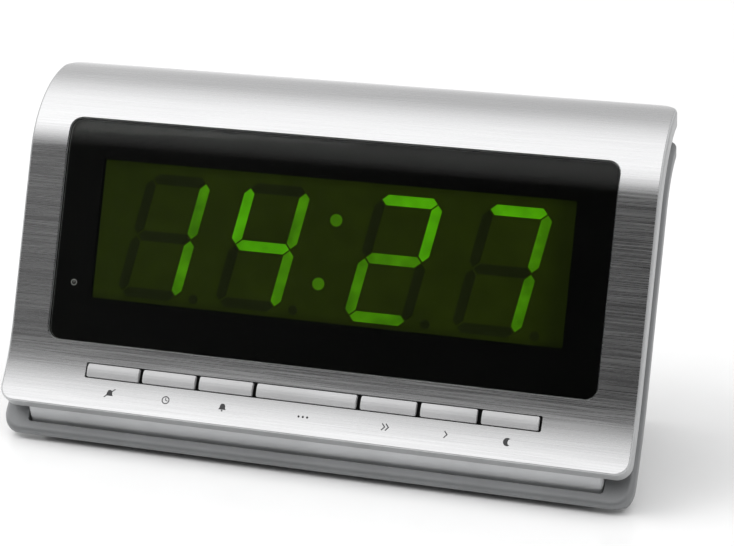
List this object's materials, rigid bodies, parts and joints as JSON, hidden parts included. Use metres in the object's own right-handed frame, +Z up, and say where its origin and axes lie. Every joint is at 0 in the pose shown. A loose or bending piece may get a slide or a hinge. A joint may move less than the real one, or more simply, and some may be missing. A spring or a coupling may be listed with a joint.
{
  "type": "clock radio",
  "caption": "Mains clock radio with a brushed aluminium fascia that curves over the top, a dark display window, a row of keys and a wider rear shell.",
  "frame": {"origin": "centre of the bounding box at the surface that the rubber feet stand on", "axes": "+X to the right as seen from the front, +Y from the display to the back, +Z up"},
  "size_m": [0.2578, 0.098, 0.1373],
  "materials": {
    "brushed_skin": "fine horizontal brushing",
    "silver_plastic": "satin silver",
    "key_plastic": "semi-gloss silver grey",
    "grey_plastic": "fine matt texture",
    "smoked_lens": "polished smoked acrylic, seen as near black",
    "green_filter": "dark green film",
    "segment_light": "lit light guides",
    "black_plastic": "matt black",
    "board": "paper laminate",
    "soft_rubber": "matt",
    "plated_steel": "zinc plated",
    "cone_paper": "doped paper",
    "dark_iron": "ferrite and varnished laminations",
    "winding_tape": "taped winding",
    "copper_wire": "enamelled wire",
    "capacitor_sleeve": "shrunk sleeve",
    "gang_plastic": "clear-white polystyrene"
  },
  "bodies": {
    "cabinet": {"fascia_skin": "brushed_skin", "front_bezel": "silver_plastic", "display_lens": "smoked_lens", "display_filter": "green_filter", "digit_module": "black_plastic", "digit_hour_tens": "segment_light", "digit_hour_units": "segment_light", "colon_dots": "segment_light", "digit_minute_tens": "segment_light", "digit_minute_units": "segment_light", "display_board": "board", "auto_lamp": "segment_light", "clock_chip": "black_plastic", "keypad_mat": "soft_rubber", "key_board": "board", "core_housing": "silver_plastic", "rear_shell": "grey_plastic", "rear_cabinet": "grey_plastic", "battery_snap": "black_plastic", "cabinet_screw_1": "plated_steel", "cabinet_screw_2": "plated_steel", "cabinet_screw_3": "plated_steel", "cabinet_screw_4": "plated_steel", "foot_1": "soft_rubber", "foot_2": "soft_rubber", "foot_3": "soft_rubber", "foot_4": "soft_rubber", "speaker_frame": "plated_steel", "speaker_cone": "cone_paper", "speaker_magnet": "dark_iron", "speaker_screw_1": "plated_steel", "speaker_screw_2": "plated_steel", "main_board": "board", "board_screw_1": "plated_steel", "board_screw_2": "plated_steel", "radio_chip": "black_plastic", "filter_capacitor": "capacitor_sleeve", "transformer_core": "dark_iron", "transformer_winding": "winding_tape", "ferrite_rod": "dark_iron", "antenna_coil": "copper_wire", "tuning_capacitor": "gang_plastic", "volume_pot": "plated_steel", "function_switch": "plated_steel", "band_switch": "plated_steel", "cord_inlet": "soft_rubber"},
    "alarm_off_key": {"key_alarm_off": "key_plastic"},
    "time_key": {"key_time": "key_plastic"},
    "alarm_set_key": {"key_alarm_set": "key_plastic"},
    "snooze_key": {"key_snooze": "key_plastic"},
    "hour_key": {"key_hour": "key_plastic"},
    "minute_key": {"key_minute": "key_plastic"},
    "sleep_key": {"key_sleep": "key_plastic"},
    "tuning": {"tuning_wheel": "black_plastic"},
    "volume": {"volume_wheel": "black_plastic"},
    "function": {"function_slider": "black_plastic"},
    "band": {"band_slider": "black_plastic"},
    "battery_cover": {"battery_door": "grey_plastic"}
  },
  "joints": [
    {"name": "alarm_off_press", "type": "slide", "parent": "cabinet", "child": "alarm_off_key", "axis": [0, 0.8461, -0.5331], "range_m": [0, 0.0008], "stiffness_N_per_m": 600, "springref_m": -0.0005},
    {"name": "time_press", "type": "slide", "parent": "cabinet", "child": "time_key", "axis": [0, 0.8461, -0.5331], "range_m": [0, 0.0008], "stiffness_N_per_m": 600, "springref_m": -0.0005},
    {"name": "alarm_set_press", "type": "slide", "parent": "cabinet", "child": "alarm_set_key", "axis": [0, 0.8461, -0.5331], "range_m": [0, 0.0008], "stiffness_N_per_m": 600, "springref_m": -0.0005},
    {"name": "snooze_press", "type": "slide", "parent": "cabinet", "child": "snooze_key", "axis": [0, 0.8461, -0.5331], "range_m": [0, 0.0008], "stiffness_N_per_m": 600, "springref_m": -0.0005},
    {"name": "hour_press", "type": "slide", "parent": "cabinet", "child": "hour_key", "axis": [0, 0.8461, -0.5331], "range_m": [0, 0.0008], "stiffness_N_per_m": 600, "springref_m": -0.0005},
    {"name": "minute_press", "type": "slide", "parent": "cabinet", "child": "minute_key", "axis": [0, 0.8461, -0.5331], "range_m": [0, 0.0008], "stiffness_N_per_m": 600, "springref_m": -0.0005},
    {"name": "sleep_press", "type": "slide", "parent": "cabinet", "child": "sleep_key", "axis": [0, 0.8461, -0.5331], "range_m": [0, 0.0008], "stiffness_N_per_m": 600, "springref_m": -0.0005},
    {"name": "tuning_turn", "type": "hinge", "parent": "cabinet", "child": "tuning", "pos_m": [0.102, 0.0325, 0.088], "axis": [0, 1, 0], "range_deg": [-90, 90]},
    {"name": "volume_turn", "type": "hinge", "parent": "cabinet", "child": "volume", "pos_m": [0.102, 0.0325, 0.055], "axis": [0, 1, 0], "range_deg": [-90, 200]},
    {"name": "function_slide", "type": "slide", "parent": "cabinet", "child": "function", "axis": [1, 0, 0], "range_m": [0, 0.007]},
    {"name": "band_slide", "type": "slide", "parent": "cabinet", "child": "band", "axis": [1, 0, 0], "range_m": [0, 0.0036]},
    {"name": "battery_door_hinge", "type": "hinge", "parent": "cabinet", "child": "battery_cover", "pos_m": [0.057, 0.0452, 0.0096], "axis": [-1, 0, 0], "range_deg": [0, 95]}
  ]
}
